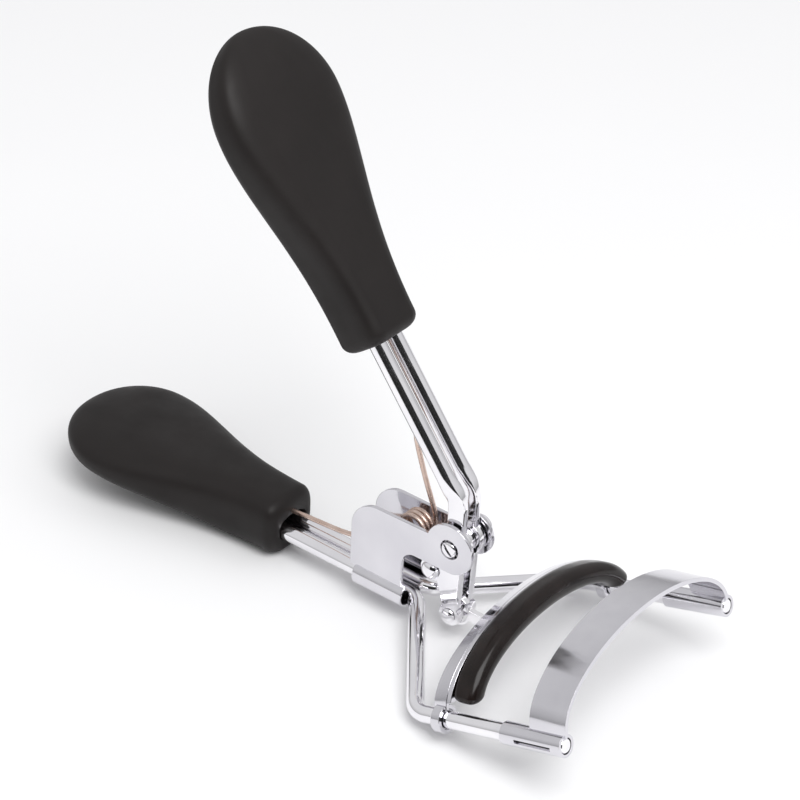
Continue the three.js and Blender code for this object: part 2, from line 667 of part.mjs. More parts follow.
place('frame_wire_near', frameWire(), CHROME);
place('frame_wire_far', mirrored(frameWire()), CHROME);
place('front_plate', frontPlate(), CHROME);
place('bracket', bracket(), CHROME);
place('pivot_screw', pivotScrew(), CHROME);
place('pivot_washer', pivotWasher(), CHROME);
place('pivot_nut', pivotNut(), CHROME);
place('lower_grip', lowerGrip(), SOFT_TOUCH);
place('torsion_spring', torsionSpring(), SPRING_STEEL);
place('lever_wire_near', leverWire(), CHROME);
place('lever_wire_far', mirrored(leverWire()), CHROME);
place('pivot_spacer', pivotSpacer(), CHROME);
place('lever_stop_pin', stopPin(), CHROME);
place('link_pin', linkPin(), CHROME);
place('upper_grip', upperGrip(), SOFT_TOUCH);
place('moving_jaw', movingJaw(), CHROME);
place('pad_channel', padChannel(), CHROME);
place('silicone_pad', siliconePad(), SILICONE);
place('jaw_pin', jawPin(), CHROME);
place('push_link', pushLink(), CHROME);

export default group;
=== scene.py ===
"""Eyelash curler: fine surfaces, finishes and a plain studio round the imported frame."""
import json
import math
import bmesh
import bpy
from mathutils import Matrix, Vector


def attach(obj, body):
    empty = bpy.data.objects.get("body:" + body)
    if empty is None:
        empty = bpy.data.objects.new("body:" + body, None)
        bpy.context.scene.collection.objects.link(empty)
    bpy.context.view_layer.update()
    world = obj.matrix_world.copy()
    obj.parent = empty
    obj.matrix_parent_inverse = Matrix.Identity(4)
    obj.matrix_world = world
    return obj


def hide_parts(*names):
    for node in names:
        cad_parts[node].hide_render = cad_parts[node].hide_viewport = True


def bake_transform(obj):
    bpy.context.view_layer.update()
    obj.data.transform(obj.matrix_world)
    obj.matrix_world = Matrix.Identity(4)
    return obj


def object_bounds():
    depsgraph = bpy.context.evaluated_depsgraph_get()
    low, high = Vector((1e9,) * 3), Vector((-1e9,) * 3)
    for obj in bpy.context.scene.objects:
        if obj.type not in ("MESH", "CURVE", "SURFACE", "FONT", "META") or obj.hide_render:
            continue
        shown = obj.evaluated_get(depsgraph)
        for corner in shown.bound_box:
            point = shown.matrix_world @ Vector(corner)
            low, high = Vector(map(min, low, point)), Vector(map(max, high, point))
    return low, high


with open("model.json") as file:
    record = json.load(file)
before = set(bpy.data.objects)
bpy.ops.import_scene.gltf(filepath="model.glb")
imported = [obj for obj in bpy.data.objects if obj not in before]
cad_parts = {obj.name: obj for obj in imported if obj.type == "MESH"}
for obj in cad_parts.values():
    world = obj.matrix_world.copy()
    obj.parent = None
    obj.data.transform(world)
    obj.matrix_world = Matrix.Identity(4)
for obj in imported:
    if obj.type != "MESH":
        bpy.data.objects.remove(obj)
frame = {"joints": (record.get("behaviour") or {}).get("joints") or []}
cad_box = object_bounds()

# ---- where things are ---------------------------------------------------------------------
# Shapes are worked out in millimetres in the stem's own frame: X along the stem, Y across,
# Z up, with X 0 at the corner where the flare meets the rail. TO_SHARED moves a point from
# there into the shared frame, by way of the lever's hinge.
MM = 0.001
JOINTS = {joint["name"]: joint for joint in frame["joints"]}
HINGE = Vector(JOINTS["lever_hinge"]["pos_m"]) / MM
SLIDE = Vector(JOINTS["jaw_slide"]["axis"])
PIVOT = Vector((-7.08, 0, 14.09))
TO_SHARED = HINGE - PIVOT
RAIL_PITCH = math.atan2(SLIDE.z, SLIDE.x)

WIRE_R = 1.15
STEM = Vector((-12.52, 1.44, 2.88))        # front end of a stem wire
STEM_REAR = -53
CORNER_Z = 1.06                            # height of the rails' rear ends
RAIL_Y = 18
RAIL_LENGTH = 23.3
BEND_R = 3.4

SLEEVE = {"rear": 14.3, "outer": 1.47, "bore": 1.05}
RAIL_TIP_R = 0.95
BAND_HALF, BAND_THICK = 18.2, 0.6          # both arched bands
FRONT_BAND = {"rear": 18.3, "front": 23.6, "rear_crest": 9.7, "front_crest": 9.2, "foot": 1.1}
JAW_BAND = {"rear": 3.4, "front": 5.4, "rear_crest": 8.2, "front_crest": 8.9, "foot": 0.6}

EAR_INNER, SHEET = 2.25, 0.55
EAR_OUTER = EAR_INNER + SHEET
EAR_REAR, EAR_TOP, EAR_CORNER_R = -22.8, 15, 4.2
NEAR_BOSS_R, FAR_BOSS_R = 3.6, 3.1
NOTCH_REAR, NOTCH_TOP, NOTCH_R = -14.4, 10.45, 2
BASE_REAR, BASE_FRONT, BASE_R, BASE_BORE = -21.9, -13.8, 1.8, 1.5
BASE_Y, BASE_Z = 1.75, 3.02
SCREW_HEAD_R, SCREW_HOLE_R, NUT_HOLE_R = 1.12, 1.38, 0.95
SCREW_R = 0.85

ARM_INNER, ARM_OUTER, ARM_HALF = 0.75, 1.95, 1.3
ELBOW = PIVOT + Vector((0, 0, 7))
ROD_LEAN, GRIP_LEAN = math.radians(51.9), math.radians(53.0)
ALONG_ROD = Vector((-math.cos(ROD_LEAN), 0, math.sin(ROD_LEAN)))
OFF_ROD = Vector((math.sin(ROD_LEAN), 0, math.cos(ROD_LEAN)))
ALONG_GRIP = Vector((-math.cos(GRIP_LEAN), 0, math.sin(GRIP_LEAN)))
OFF_GRIP = Vector((math.sin(GRIP_LEAN), 0, math.cos(GRIP_LEAN)))
ROD_Y, ROD_END = 1.62, 40
LOWER_GRIP_X = -34.8
UPPER_GRIP_FRONT = ELBOW + Vector((-13.54, 0, 17.72))
PIN = PIVOT - Vector((0, 0, 10.9))
STOP = Vector((-10.3, 0, 8.95))
JAW_PIN = Vector((0.62, 0, 1.9))           # along and above the rails
PIN_R, ARM_HOLE_R, PIN_HOLE_R = 0.6, 1.15, 0.7

COIL = Vector((-14.2, 0, 12.95))
COIL_R, COIL_HALF, COIL_TURNS, SPRING_R = 2.0, 1.3, 3.25, 0.34


def rail(x, y, z):
    """A point given along, across and square to the rails."""
    return Vector((
        x * math.cos(RAIL_PITCH) - z * math.sin(RAIL_PITCH),
        y,
        CORNER_Z + x * math.sin(RAIL_PITCH) + z * math.cos(RAIL_PITCH),
    ))


# ---- shells: each is (points, faces) in the stem's frame ----------------------------------
def loft(rings, loop=False, caps=True):
    """Skin over equal rings of points, in order."""
    around = len(rings[0])
    faces = []
    for i in range(len(rings) if loop else len(rings) - 1):
        low, high = i * around, (i + 1) % len(rings) * around
        for k in range(around):
            nxt = (k + 1) % around
            faces.append((low + k, low + nxt, high + nxt, high + k))
    if caps and not loop:
        last = (len(rings) - 1) * around
        faces.append(tuple(reversed(range(around))))
        faces.append(tuple(range(last, last + around)))
    return [point for ring in rings for point in ring], faces


def turns(count):
    """Even angles round a full turn."""
    return [2 * math.pi * k / count for k in range(count)]


def spread(start, end, steps):
    """Even values from start to end, both included."""
    return [start + (end - start) * i / steps for i in range(steps + 1)]


def squarer(value, power):
    """A sine or cosine pushed outward, so that an oval becomes squarer."""
    return math.copysign(abs(value) ** power, value)


def wire(path, radii, sides=32):
    """Round wire along a path, with a radius for each point."""
    rings, normal = [], None
    for i, point in enumerate(path):
        tangent = (path[min(i + 1, len(path) - 1)] - path[max(i - 1, 0)]).normalized()
        if normal is None:
            normal = tangent.orthogonal()
        normal = (normal - tangent * normal.dot(tangent)).normalized()
        side = tangent.cross(normal)
        rings.append([
            point + (normal * math.cos(a) + side * math.sin(a)) * radii[i] for a in turns(sides)
        ])
    return loft(rings)


def lathe(profile, centre, axis, loop=False, sides=56):
    """Profile of (radius, distance along) turned about X or Y through a centre."""
    rings = []
    for radius, along in profile:
        ring = []
        for a in turns(sides):
            u, v = radius * math.cos(a), radius * math.sin(a)
            ring.append(centre + (Vector((along, u, v)) if axis == "X" else Vector((u, along, v))))
        rings.append(ring)
    return loft(rings, loop=loop, caps=False)


def tube(bore, outer, start, end, centre, axis):
    """Plain ring or sleeve about X or Y."""
    profile = [(bore, start), (outer, start), (outer, end), (bore, end)]
    return lathe(profile, centre, axis, loop=True)


def arc(centre, radius, start, end, steps):
    """Points on an arc in the XZ plane, as (x, z)."""
    return [
        (
            centre[0] + radius * math.cos(start + (end - start) * i / steps),
            centre[1] + radius * math.sin(start + (end - start) * i / steps),
        )
        for i in range(steps + 1)
    ]


def circle(centre, radius, steps=40):
    """Clockwise outline of a round hole."""
    return [
        (centre[0] + radius * math.cos(-a), centre[1] + radius * math.sin(-a)) for a in turns(steps)
    ]


def plate(outlines, low, high, soft=0.07):
    """Flat outline with holes, given thickness along Y and softened edges."""
    curve = bpy.data.curves.new("outline", "CURVE")
    curve.dimensions = "2D"
    curve.fill_mode = "BOTH"
    curve.extrude = (high - low) / 2 - soft
    curve.bevel_depth = soft
    curve.bevel_resolution = 2
    curve.offset = -soft
    for outline in outlines:
        spline = curve.splines.new("POLY")
        spline.points.add(len(outline) - 1)
        for point, (x, z) in zip(spline.points, outline):
            point.co = (x, z, 0, 1)
        spline.use_cyclic_u = True
    holder = bpy.data.objects.new("outline", curve)
    bpy.context.scene.collection.objects.link(holder)
    evaluated = holder.evaluated_get(bpy.context.evaluated_depsgraph_get())
    mesh = bpy.data.meshes.new_from_object(evaluated)
    points = [Vector((v.co.x, (low + high) / 2 + v.co.z, v.co.y)) for v in mesh.vertices]
    faces = [tuple(polygon.vertices) for polygon in mesh.polygons]
    bpy.data.objects.remove(holder)
    bpy.data.curves.remove(curve)
    bpy.data.meshes.remove(mesh)
    return points, faces


def on_rail(shell):
    """A shell made in rail coordinates, put on the rails."""
    points, faces = shell
    return [rail(*point) for point in points], faces


def far(shell):
    """The same shell on the other side of the middle plane."""
    points, faces = shell
    return [Vector((p.x, -p.y, p.z)) for p in points], [tuple(reversed(f)) for f in faces]


def both(shell):
    return [shell, far(shell)]


def temporary(shell):
    """Scene object that a boolean can work on."""
    mesh = bpy.data.meshes.new("temporary")
    mesh.from_pydata(shell[0], [], shell[1])
    skin = bmesh.new()
    skin.from_mesh(mesh)
    bmesh.ops.remove_doubles(skin, verts=skin.verts, dist=1e-4)
    bmesh.ops.recalc_face_normals(skin, faces=skin.faces)
    skin.to_mesh(mesh)
    skin.free()
    holder = bpy.data.objects.new("temporary", mesh)
    bpy.context.scene.collection.objects.link(holder)
    return holder


def cut(shell, *cutters):
    """The shell with the cutters taken away."""
    base = temporary(shell)
    tools = [temporary(cutter) for cutter in cutters]
    for tool in tools:
        modifier = base.modifiers.new("cut", "BOOLEAN")
        modifier.operation = "DIFFERENCE"
        modifier.solver = "EXACT"
        modifier.object = tool
    mesh = bpy.data.meshes.new_from_object(base.evaluated_get(bpy.context.evaluated_depsgraph_get()))
    points = [v.co.copy() for v in mesh.vertices]
    faces = [tuple(polygon.vertices) for polygon in mesh.polygons]
    for holder in [base, *tools]:
        old = holder.data
        bpy.data.objects.remove(holder)
        bpy.data.meshes.remove(old)
    bpy.data.meshes.remove(mesh)
    return points, faces


def box(centre, size, spin=0.0):
    """Rectangular cutter, turned about Y."""
    turn = Matrix.Rotation(spin, 3, "Y")
    points = [
        centre + turn @ Vector((x * size[0] / 2, y * size[1] / 2, z * size[2] / 2))
        for x in (-1, 1) for y in (-1, 1) for z in (-1, 1)
    ]
    faces = [(0, 1, 3, 2), (4, 6, 7, 5), (0, 4, 5, 1), (2, 3, 7, 6), (0, 2, 6, 4), (1, 5, 7, 3)]
    return points, faces


def piece(name, shells, material, body, nodes, soften=0.0, crease=35):
    """One visible piece from its shells, standing for CAD nodes and riding on their body."""
    points, faces = [], []
    for shell_points, shell_faces in shells:
        start = len(points)
        points += [(point + TO_SHARED) * MM for point in shell_points]
        faces += [tuple(start + index for index in face) for face in shell_faces]
    mesh = bpy.data.meshes.new(name)
    mesh.from_pydata(points, [], faces)
    skin = bmesh.new()
    skin.from_mesh(mesh)
    bmesh.ops.remove_doubles(skin, verts=skin.verts, dist=1e-7)
    bmesh.ops.dissolve_degenerate(skin, edges=skin.edges, dist=1e-8)
    bmesh.ops.recalc_face_normals(skin, faces=skin.faces)
    skin.to_mesh(mesh)
    skin.free()
    for polygon in mesh.polygons:
        polygon.use_smooth = True
    mesh.set_sharp_from_angle(angle=math.radians(crease))
    mesh.materials.append(material)
    made = bpy.data.objects.new(name, mesh)
    bpy.context.scene.collection.objects.link(made)
    if soften:
        bevel = made.modifiers.new("soft edges", "BEVEL")
        bevel.width = soften * MM
        bevel.segments = 2
        bevel.limit_method = "ANGLE"
        bevel.angle_limit = math.radians(crease)
        bevel.harden_normals = True
    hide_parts(*nodes)
    if isinstance(body, str):
        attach(made, body)
    return made


# ---- materials ----------------------------------------------------------------------------
class Finish:
    """A Principled material with its own small node network."""

    def __init__(self, name, colour, roughness, metallic=0.0):
        self.material = bpy.data.materials.new(name)
        self.material.use_nodes = True
        self.tree = self.material.node_tree
        self.shader = self.tree.nodes["Principled BSDF"]
        self.set(**{"Metallic": metallic, "Roughness": roughness, "Base Color": (*colour, 1)})
        self.place = self.tree.nodes.new("ShaderNodeTexCoord").outputs["Object"]

    def set(self, **values):
        for socket, value in values.items():
            self.shader.inputs[socket].default_value = value

    def noise(self, scale, detail=3.0, stretch=(1, 1, 1)):
        mapping = self.tree.nodes.new("ShaderNodeMapping")
        mapping.inputs["Scale"].default_value = stretch
        self.tree.links.new(self.place, mapping.inputs["Vector"])
        noise = self.tree.nodes.new("ShaderNodeTexNoise")
        noise.inputs["Scale"].default_value = scale
        noise.inputs["Detail"].default_value = detail
        self.tree.links.new(mapping.outputs["Vector"], noise.inputs["Vector"])
        return noise.outputs["Fac"]

    def ramp(self, factor, stops):
        ramp = self.tree.nodes.new("ShaderNodeValToRGB")
        band = ramp.color_ramp
        while len(band.elements) < len(stops):
            band.elements.new(0.5)
        for element, (position, colour) in zip(band.elements, stops):
            element.position = position
            element.color = (*colour, 1)
        self.tree.links.new(factor, ramp.inputs["Fac"])
        return ramp.outputs["Color"]

    def drive(self, socket, output):
        self.tree.links.new(output, self.shader.inputs[socket])

    def vary(self, socket, factor, low, high):
        """Drives a number socket between two values."""
        spread = self.tree.nodes.new("ShaderNodeMapRange")
        spread.inputs["From Min"].default_value = 0.3
        spread.inputs["From Max"].default_value = 0.7
        spread.inputs["To Min"].default_value = low
        spread.inputs["To Max"].default_value = high
        self.tree.links.new(factor, spread.inputs["Value"])
        self.drive(socket, spread.outputs["Result"])

    def bump(self, height, strength, distance):
        bump = self.tree.nodes.new("ShaderNodeBump")
        bump.inputs["Strength"].default_value = strength
        bump.inputs["Distance"].default_value = distance
        self.tree.links.new(height, bump.inputs["Height"])
        self.drive("Normal", bump.outputs["Normal"])


def chrome_finish():
    """Bright plating on wire: near mirror, with faint haze and handling marks."""
    finish = Finish("chrome_plate", (0.80, 0.79, 0.82), 0.07, 1.0)
    haze = finish.noise(420, 4)
    finish.vary("Roughness", haze, 0.045, 0.13)
    finish.drive("Base Color", finish.ramp(finish.noise(160, 2), [
        (0.3, (0.86, 0.85, 0.885)), (0.7, (0.95, 0.94, 0.96)),
    ]))
    finish.bump(finish.noise(900, 3), 0.05, 0.00002)
    return finish.material


def sheet_finish():
    """Plating on pressed sheet: a little hazier, with fine polishing lines along its length."""
    finish = Finish("plated_sheet", (0.76, 0.75, 0.79), 0.14, 1.0)
    lines = finish.noise(1500, 3, (0.12, 1, 1))
    finish.vary("Roughness", lines, 0.08, 0.15)
    finish.drive("Base Color", finish.ramp(finish.noise(120, 3), [
        (0.3, (0.66, 0.65, 0.69)), (0.7, (0.76, 0.75, 0.785)),
    ]))
    finish.bump(lines, 0.06, 0.00002)
    return finish.material


def soft_touch_finish():
    """Matte rubberised coat, warm black, with a very fine grain and faint rubbed patches."""
    finish = Finish("soft_touch_coat", (0.012, 0.010, 0.0095), 0.5)
    finish.set(**{"Specular IOR Level": 0.25})
    finish.drive("Base Color", finish.ramp(finish.noise(90, 4), [
        (0.3, (0.0105, 0.0084, 0.008)), (0.7, (0.0155, 0.0125, 0.012)),
    ]))
    finish.vary("Roughness", finish.noise(240, 3), 0.44, 0.58)
    finish.bump(finish.noise(5200, 2), 0.22, 0.00003)
    return finish.material


def silicone_finish():
    """Glossy dark brown silicone, slightly cloudy."""
    finish = Finish("silicone", (0.014, 0.009, 0.008), 0.2)
    finish.set(**{"Specular IOR Level": 0.22, "Coat Weight": 0.06, "Coat Roughness": 0.08,
                  "Subsurface Weight": 0.08})
    finish.shader.inputs["Subsurface Radius"].default_value = (0.0012, 0.0006, 0.0004)
    finish.drive("Base Color", finish.ramp(finish.noise(260, 3), [
        (0.3, (0.007, 0.0045, 0.004)), (0.7, (0.016, 0.011, 0.010)),
    ]))
    finish.vary("Roughness", finish.noise(600, 3), 0.14, 0.26)
    finish.bump(finish.noise(700, 2), 0.08, 0.00004)
    return finish.material


def spring_finish():
    """Copper-tinted spring steel with fine drawing lines."""
    finish = Finish("spring_steel", (0.66, 0.50, 0.43), 0.3, 1.0)
    finish.drive("Base Color", finish.ramp(finish.noise(500, 3), [
        (0.3, (0.58, 0.42, 0.35)), (0.7, (0.74, 0.60, 0.53)),
    ]))
    finish.vary("Roughness", finish.noise(1800, 3), 0.22, 0.38)
    finish.bump(finish.noise(3000, 2), 0.1, 0.00002)
    return finish.material


CHROME = chrome_finish()
SHEET_CHROME = sheet_finish()
SOFT_TOUCH = soft_touch_finish()
SILICONE = silicone_finish()
SPRING_STEEL = spring_finish()


# ---- lower frame --------------------------------------------------------------------------
def rounded(corners, radius, steps):
    """Straight legs with each inner corner on an arc."""
    path = [corners[0]]
    for before, corner, after in zip(corners, corners[1:], corners[2:]):
        back, on = (before - corner).normalized(), (after - corner).normalized()
        half = back.angle(on) / 2
        centre = corner + (back + on).normalized() * (radius / math.sin(half))
        start = corner + back * (radius / math.tan(half)) - centre
        end = corner + on * (radius / math.tan(half)) - centre
        path += [centre + start.slerp(end, i / steps) * radius for i in range(steps + 1)]
    return path + [corners[-1]]


def frame_wire():
    """Stem, flare and rail bent from one wire, turned down where the sleeve grips it."""
    shoulder = SLEEVE["rear"] - 0.1
    path = rounded([
        Vector((STEM_REAR, -STEM.y, STEM.z)),
        Vector((STEM.x, -STEM.y, STEM.z)),
        rail(0, -RAIL_Y, 0),
        rail(shoulder, -RAIL_Y, 0),
    ], BEND_R, 20)
    radii = [WIRE_R] * len(path)
    edge = 0.12
    path += [rail(shoulder + 0.01, -RAIL_Y, 0), rail(RAIL_LENGTH - edge, -RAIL_Y, 0),
             rail(RAIL_LENGTH, -RAIL_Y, 0)]
    radii += [RAIL_TIP_R, RAIL_TIP_R, RAIL_TIP_R - edge]
    return wire(path, radii)


near_wire = frame_wire()
piece("side_wire_near", [near_wire], CHROME, "frame", ["frame_wire_near"])
piece("side_wire_far", [far(near_wire)], CHROME, "frame", ["frame_wire_far"])


# ---- arched bands -------------------------------------------------------------------------
def arched(section, angles, foot, shrink=None):
    """A section of (x along the rails, half-width, crest) swept over the arch."""
    middle = [sum(values) / len(section) for values in zip(*section)]
    rings = []
    for i, angle in enumerate(angles):
        size = shrink[i] if shrink else 1
        ring = []
        for entry in section:
            x, half, crest = (m + (value - m) * size for value, m in zip(entry, middle))
            ring.append(rail(x, half * math.cos(angle), foot + (crest - foot) * math.sin(angle)))
        rings.append(ring)
    return loft(rings)


def band(rear, front, rear_crest, front_crest, foot):
    """Strip of constant thickness over the arch, with a crest at each edge."""
    def crest(x):
        return rear_crest + (front_crest - rear_crest) * (x - rear) / (front - rear)

    across, along = 5, 96
    stations = spread(rear, front, across)
    section = [(x, BAND_HALF, crest(x)) for x in stations]
    section += [(x, BAND_HALF - BAND_THICK, crest(x) - BAND_THICK) for x in reversed(stations)]
    return arched(section, spread(0, math.pi, along), foot)


def rail_sleeve(rear, front, outer, bore):
    """Sleeve round the near rail."""
    return on_rail(tube(bore, outer, rear, front, Vector((0, -RAIL_Y, 0)), "X"))


def front_plate():
    """Fixed jaw: arched band with a slotted sleeve round each rail end."""
    sleeve = rail_sleeve(front=RAIL_LENGTH, **SLEEVE)
    window = {"rear": 16.5, "front": 21.9, "height": 0.5, "depth": 2, "outward": 1.4}
    middle = (window["rear"] + window["front"]) / 2
    length = window["front"] - window["rear"]
    slot = on_rail(box(Vector((middle, -RAIL_Y - window["outward"], 0)),
                       (length, window["depth"], window["height"])))
    return [band(**FRONT_BAND), *both(cut(sleeve, slot))]


piece("front_jaw_plate", front_plate(), SHEET_CHROME, "frame", ["front_plate"],
      soften=0.09)


# ---- bracket and pivot --------------------------------------------------------------------
def ear_outline(boss_r):
    """Side of the bracket: rounded rear corner, boss round the pivot and notch in front."""
    foot = BASE_Z + 1.3
    corner = (EAR_REAR + EAR_CORNER_R, EAR_TOP - EAR_CORNER_R)
    boss = (PIVOT.x, PIVOT.z)
    notch = (NOTCH_REAR + NOTCH_R, NOTCH_TOP - NOTCH_R)
    outline = [(EAR_REAR, foot)]
    outline += arc(corner, EAR_CORNER_R, math.pi, math.pi / 2, 24)
    meets_top = math.pi - 0.28
    outline += arc(boss, boss_r, meets_top, -math.pi / 2, 56)
    outline += arc(notch, NOTCH_R, math.pi / 2, math.pi, 16)
    outline += [(NOTCH_REAR, foot)]
    return outline[::-1]


def bracket_base():
    """Sheet wrapped loosely round both stem wires, open on top between the ears."""
    def side_arc(side, radius, start, end):
        return [
            (side * BASE_Y + radius * math.cos(math.radians(a)), radius * math.sin(math.radians(a)))
            for a in spread(start, end, 16)
        ]

    lip = EAR_INNER - BASE_Y
    outer_lip = math.degrees(math.acos(lip / BASE_R))
    inner_lip = math.degrees(math.acos(lip / BASE_BORE))
    section = side_arc(-1, BASE_R, 180 - outer_lip, 270)
    section += side_arc(1, BASE_R, -90, outer_lip)
    section += side_arc(1, BASE_BORE, inner_lip, -90)
    section += side_arc(-1, BASE_BORE, 270, 180 - inner_lip)
    return loft([[Vector((x, y, BASE_Z + z)) for y, z in section] for x in (BASE_REAR, BASE_FRONT)])


def ear(boss_r, hole_r):
    """Near-side ear with its pivot hole."""
    hole = circle((PIVOT.x, PIVOT.z), hole_r)
    return plate([ear_outline(boss_r), hole], -EAR_OUTER, -EAR_INNER, 0.09)


ears = [ear(NEAR_BOSS_R, SCREW_HOLE_R), far(ear(FAR_BOSS_R, NUT_HOLE_R))]
piece("bracket_ears", ears, SHEET_CHROME, "frame", [])
piece("bracket_channel", [bracket_base()], SHEET_CHROME, "frame", ["bracket"],
      soften=0.08)


def pivot_screw():
    """Slotted screw whose round head sits in the near ear's hole."""
    rise, dome, sink = 0.5, 0.65, 0.12        # dome is the domed share of the rise
    seat, end = -EAR_OUTER + sink, EAR_OUTER + 1.5
    face = seat - rise
    profile = [(0, face)]
    profile += [(SCREW_HEAD_R * math.sin(a), seat - rise * (1 - dome + dome * math.cos(a)))
                for a in spread(0.1, math.pi / 2, 12)]
    profile += [(SCREW_HEAD_R, -EAR_INNER), (SCREW_R, -EAR_INNER), (SCREW_R, end), (0, end)]
    slot = box(PIVOT + Vector((0, face, 0)), size=(3.0, 1.1, 0.36), spin=0.8)
    return cut(lathe(profile, PIVOT, "Y"), slot)


def pivot_nut():
    """Domed nut, screwed on the far side."""
    base = EAR_OUTER + 0.5
    outer, bore, straight, dome, flat = 1.85, 0.88, 0.75, 0.85, 0.3
    profile = [(0, base), (bore, base), (outer, base), (outer, base + straight)]
    profile += [(flat + (outer - flat) * math.cos(a), base + straight + dome * math.sin(a))
                for a in spread(0, math.pi / 2, 10)]
    profile += [(0, base + straight + dome)]
    return lathe(profile, PIVOT, "Y")


piece("pivot_screw_head", [pivot_screw()], CHROME, "frame", ["pivot_screw"], soften=0.05)
washer = tube(NUT_HOLE_R, 2.05, EAR_OUTER + 0.05, EAR_OUTER + 0.45, PIVOT, "Y")
piece("pivot_washer_ring", [washer], CHROME, "frame", ["pivot_washer"], soften=0.08)
piece("pivot_domed_nut", [pivot_nut()], CHROME, "frame", ["pivot_nut"], soften=0.05)


# ---- upper lever --------------------------------------------------------------------------
def arm_outline():
    """Flat part of the lever wire: hub, stop-pin lobe and link-pin eye."""
    eye_r, hub_r, lobe_r, waist = 1.6, 2.4, 1.7, 1.1
    hub, eye = (PIVOT.x, PIVOT.z), (PIN.x, PIN.z)
    hub_join, eye_join = math.acos(ARM_HALF / hub_r), math.acos(waist / eye_r)
    outline = arc(hub, hub_r, -hub_join, math.pi + hub_join * 0.6, 48)
    outline += arc((STOP.x, STOP.z), lobe_r, math.pi * 0.8, math.pi * 1.7, 16)
    outline += arc(eye, eye_r, math.pi - eye_join, 2 * math.pi + eye_join, 32)
    return outline


def lever_rod():
    """Round rod that leans back, pressed flat where it turns down into the arm."""
    elbow_r, elbow_steps = 4.2, 18
    foot = Vector((PIVOT.x, 0, PIVOT.z + 1.6))
    path = rounded([ELBOW + ALONG_ROD * ROD_END, ELBOW, foot], elbow_r, elbow_steps)
    lead, lead_steps, bend_steps = 2.6, 8, 13   # where the pressing starts and is done
    run_in = [path[1] + ALONG_ROD * lead * (1 - i / lead_steps) for i in range(lead_steps)]
    path = [path[0]] + run_in + path[1:]
    pressed = lead_steps + bend_steps
    press = [min(1, max(0, i / pressed)) for i in range(-1, len(path) - 1)]
    flat_deep, flat_wide, flat_y = 0.56, ARM_HALF - 0.02, (ARM_INNER + ARM_OUTER) / 2
    rings = []
    for i, (point, share) in enumerate(zip(path, press)):
        tangent = (path[min(i + 1, len(path) - 1)] - path[max(i - 1, 0)]).normalized()
        across = tangent.cross(Vector((0, 1, 0)))
        flat = share * share * (3 - 2 * share)
        deep = WIRE_R + (flat_deep - WIRE_R) * flat
        wide = WIRE_R + (flat_wide - WIRE_R) * flat
        middle = -ROD_Y + (ROD_Y - flat_y) * flat
        power = 2 / (2 + 5 * flat)
        ring = []
        for a in turns(48):
            y = middle + deep * squarer(math.cos(a), power)
            ring.append(point + Vector((0, y, 0)) + across * wide * squarer(math.sin(a), power))
        rings.append(ring)
    return loft(rings)


arm_hole = circle((PIVOT.x, PIVOT.z), ARM_HOLE_R)
arm = plate([arm_outline(), arm_hole], -ARM_OUTER, -ARM_INNER, 0.12)
rod = lever_rod()
piece("lever_wire_near_side", [rod, arm], CHROME, "lever", ["lever_wire_near"])
piece("lever_wire_far_side", [far(rod), far(arm)], CHROME, "lever", ["lever_wire_far"])

spacer = tube(ARM_HOLE_R, 1.7, -0.65, 0.65, PIVOT, "Y")
piece("pivot_spacer_ring", [spacer], CHROME, "lever", ["pivot_spacer"], soften=0.08)


def headed_pin(centre, shank_r, head_r, under, rise):
    """Cross pin with a domed head outside each face."""
    half = [(0, -under - rise)]
    half += [(head_r * math.sin(a), -under - rise * math.cos(a))
             for a in spread(0.12, math.pi / 2, 12)]
    half += [(head_r, -under), (shank_r, -under)]
    return lathe(half + [(r, -y) for r, y in reversed(half)], centre, "Y")


head_from = ARM_OUTER + 0.08
stop_pin = headed_pin(STOP, shank_r=0.7, head_r=1.32, under=head_from, rise=0.87)
rear_pin = headed_pin(PIN, PIN_R, head_r=1.0, under=head_from, rise=0.5)
piece("stop_pin", [stop_pin], CHROME, "lever", ["lever_stop_pin"])
piece("link_rear_pin", [rear_pin], CHROME, "lever", ["link_pin"])


# ---- sliding jaw --------------------------------------------------------------------------
def cheek():
    """Near cheek of the clevis under the strip, with an eye for the link's front pin."""
    rear, front, low, high, eye_r = 3.6, 4.9, 5.8, 8.0, 1.45
    inner, outer = 0.75, 1.35
    outline = arc((JAW_PIN.x, JAW_PIN.z), eye_r, math.pi * 0.75, math.pi * 1.8, 24)
    outline += [(front, low), (front, high), (rear, high)]
    return on_rail(plate([outline, circle((JAW_PIN.x, JAW_PIN.z), PIN_HOLE_R)], -outer, -inner))


jaw_eye = rail_sleeve(rear=3.9, front=5.3, outer=1.85, bore=1.3)
jaw_shells = [band(**JAW_BAND), *both(cheek()), *both(jaw_eye)]
piece("sliding_jaw_strip", jaw_shells, SHEET_CHROME, "jaw", ["moving_jaw"],
      soften=0.09)


def pad_channel():
    """Thin channel in line with the strip, folded under the back of the pad."""
    rear, back, front, wall, deep, trim = 5.43, 5.98, 7.2, 0.25, 3.5, 0.19
    narrowing, rising = 0.35, 0.28              # for each millimetre along the rails
    outline = [(rear, 0), (back, 0), (back, deep - wall), (front, deep - wall), (front, deep),
               (rear, deep)]
    section = []
    for x, inset in outline:
        half = BAND_HALF - narrowing * (x - rear)
        crest = JAW_BAND["front_crest"] + rising * (x - rear)
        section.append((x, half - inset, crest - inset))
    return arched(section, spread(trim, math.pi - trim, 96), JAW_BAND["foot"])


